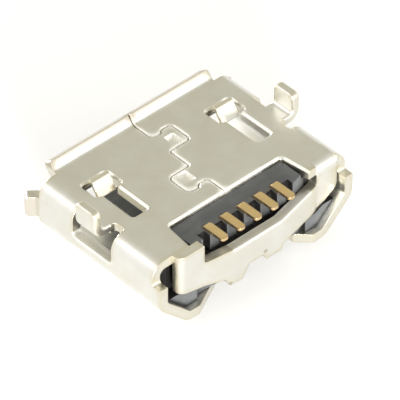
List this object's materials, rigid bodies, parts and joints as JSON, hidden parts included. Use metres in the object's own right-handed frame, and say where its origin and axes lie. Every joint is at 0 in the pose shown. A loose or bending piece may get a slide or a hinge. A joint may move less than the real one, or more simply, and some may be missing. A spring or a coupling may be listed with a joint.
{
  "type": "charging port",
  "caption": "Small board-mount charging port: folded steel shell with flared mouth, solder legs, latch slots and rear strap round a black moulding with gold contacts.",
  "frame": {"origin": "centre of the plug mouth, in the plane of the lip tips", "axes": "+X across the width, +Y out of the mouth, +Z towards the side that faces the board"},
  "size_m": [0.008, 0.0058, 0.0034],
  "materials": {
    "shell": "satin tin plating",
    "insulator": "fine matte moulding",
    "contacts": "satin gold plating"
  },
  "bodies": {
    "root": {"shell": "shell", "insulator": "insulator", "contact_1": "contacts", "contact_2": "contacts", "contact_3": "contacts", "contact_4": "contacts", "contact_5": "contacts"}
  },
  "joints": []
}
